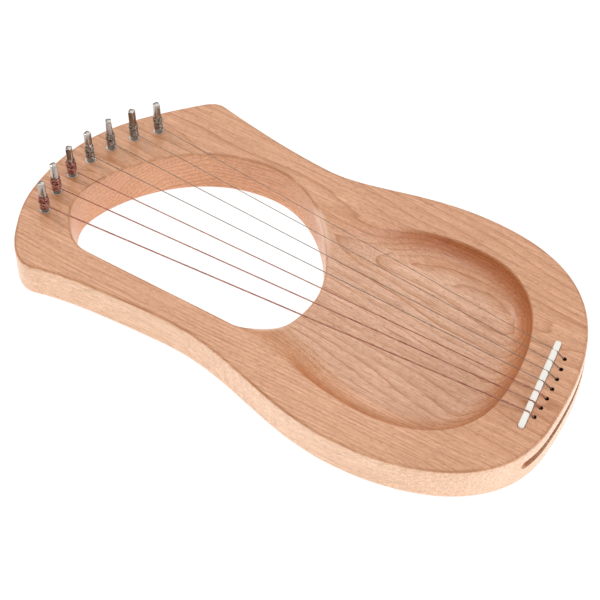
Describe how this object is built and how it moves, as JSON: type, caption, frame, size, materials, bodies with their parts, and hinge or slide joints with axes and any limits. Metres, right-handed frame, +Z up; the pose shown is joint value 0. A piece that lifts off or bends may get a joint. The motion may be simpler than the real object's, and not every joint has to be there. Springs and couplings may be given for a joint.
{
  "type": "hand lyre",
  "caption": "Small carved wooden hand lyre lying flat: waisted block with hand opening, scooped bowl, inlaid bridge, upright tuning pins and fanned strings.",
  "frame": {"origin": "centre of the underside, on the surface the instrument lies on", "axes": "+X along the strings from the tuning pins to the bridge, +Y towards the treble side, +Z up out of the playing side"},
  "size_m": [0.3792, 0.203, 0.053],
  "materials": {
    "beech": "oiled and sanded",
    "bridge": "ivory-coloured, smooth",
    "pin_steel": "nickel-plated, fine turned",
    "wound_string": "copper wound on a steel core",
    "plain_string": "plain drawn wire",
    "ball_end": "turned"
  },
  "bodies": {
    "lyre": {"harp_body": "beech", "bridge_saddle": "bridge", "string_1": "wound_string", "string_2": "wound_string", "string_3": "wound_string", "string_4": "plain_string", "string_5": "plain_string", "string_6": "plain_string", "string_7": "plain_string", "string_ball_end_1": "ball_end", "string_ball_end_2": "ball_end", "string_ball_end_3": "ball_end", "string_ball_end_4": "ball_end", "string_ball_end_5": "ball_end", "string_ball_end_6": "ball_end", "string_ball_end_7": "ball_end"},
    "pin_1": {"tuning_pin_1": "pin_steel", "string_winding_1": "wound_string"},
    "pin_2": {"tuning_pin_2": "pin_steel", "string_winding_2": "wound_string"},
    "pin_3": {"tuning_pin_3": "pin_steel", "string_winding_3": "wound_string"},
    "pin_4": {"tuning_pin_4": "pin_steel", "string_winding_4": "plain_string"},
    "pin_5": {"tuning_pin_5": "pin_steel", "string_winding_5": "plain_string"},
    "pin_6": {"tuning_pin_6": "pin_steel", "string_winding_6": "plain_string"},
    "pin_7": {"tuning_pin_7": "pin_steel", "string_winding_7": "plain_string"}
  },
  "joints": [
    {"name": "pin_1_turn", "type": "hinge", "parent": "lyre", "child": "pin_1", "pos_m": [-0.17105, -0.04702, 0.0275], "axis": [-0.0262, 0, 0.9997], "continuous": true},
    {"name": "pin_2_turn", "type": "hinge", "parent": "lyre", "child": "pin_2", "pos_m": [-0.1739, -0.03013, 0.0275], "axis": [-0.0262, 0, 0.9997], "continuous": true},
    {"name": "pin_3_turn", "type": "hinge", "parent": "lyre", "child": "pin_3", "pos_m": [-0.17401, -0.01299, 0.0275], "axis": [-0.0262, 0, 0.9997], "continuous": true},
    {"name": "pin_4_turn", "type": "hinge", "parent": "lyre", "child": "pin_4", "pos_m": [-0.17136, 0.00394, 0.0275], "axis": [-0.0262, 0, 0.9997], "continuous": true},
    {"name": "pin_5_turn", "type": "hinge", "parent": "lyre", "child": "pin_5", "pos_m": [-0.16604, 0.02023, 0.0275], "axis": [-0.0262, 0, 0.9997], "continuous": true},
    {"name": "pin_6_turn", "type": "hinge", "parent": "lyre", "child": "pin_6", "pos_m": [-0.15817, 0.03546, 0.0275], "axis": [-0.0262, 0, 0.9997], "continuous": true},
    {"name": "pin_7_turn", "type": "hinge", "parent": "lyre", "child": "pin_7", "pos_m": [-0.14796, 0.04922, 0.0275], "axis": [-0.0262, 0, 0.9997], "continuous": true}
  ]
}
